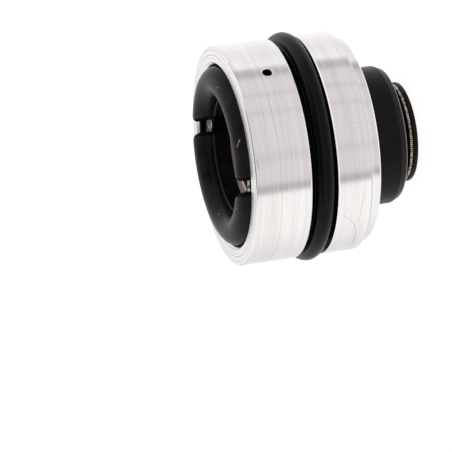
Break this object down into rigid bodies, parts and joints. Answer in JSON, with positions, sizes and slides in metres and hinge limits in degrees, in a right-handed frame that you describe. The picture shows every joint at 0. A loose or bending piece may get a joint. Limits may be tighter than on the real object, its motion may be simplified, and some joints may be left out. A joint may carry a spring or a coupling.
{
  "type": "damper seal head",
  "caption": "Turned aluminium ring that guides and seals a shock absorber's rod, with an O-ring groove, a notched rubber rebound bumper, a bleed hole and a sprung dust lip.",
  "frame": {"origin": "centre of the bore at the end of the dust lip, which the part stands on", "axes": "+Z along the bore, from the dust lip towards the rebound bumper; +X across the two parallel oil notches"},
  "size_m": [0.0478, 0.0478, 0.0411],
  "materials": {
    "turned_aluminium": "fine turned",
    "nitrile_rubber": "smooth",
    "bumper_rubber": "moulded satin",
    "dust_seal_rubber": "moulded satin",
    "oil_seal_rubber": "moulded",
    "plate_steel": "stamped",
    "bush_lining": "lined",
    "spring_steel": "drawn wire"
  },
  "bodies": {
    "root": {"housing": "turned_aluminium", "outer_o_ring": "nitrile_rubber", "rebound_bumper": "bumper_rubber", "bumper_plate": "plate_steel", "guide_bush": "bush_lining", "oil_seal": "oil_seal_rubber", "oil_seal_spring": "spring_steel", "seal_washer": "plate_steel", "dust_seal": "dust_seal_rubber", "dust_seal_spring": "spring_steel"}
  },
  "joints": []
}
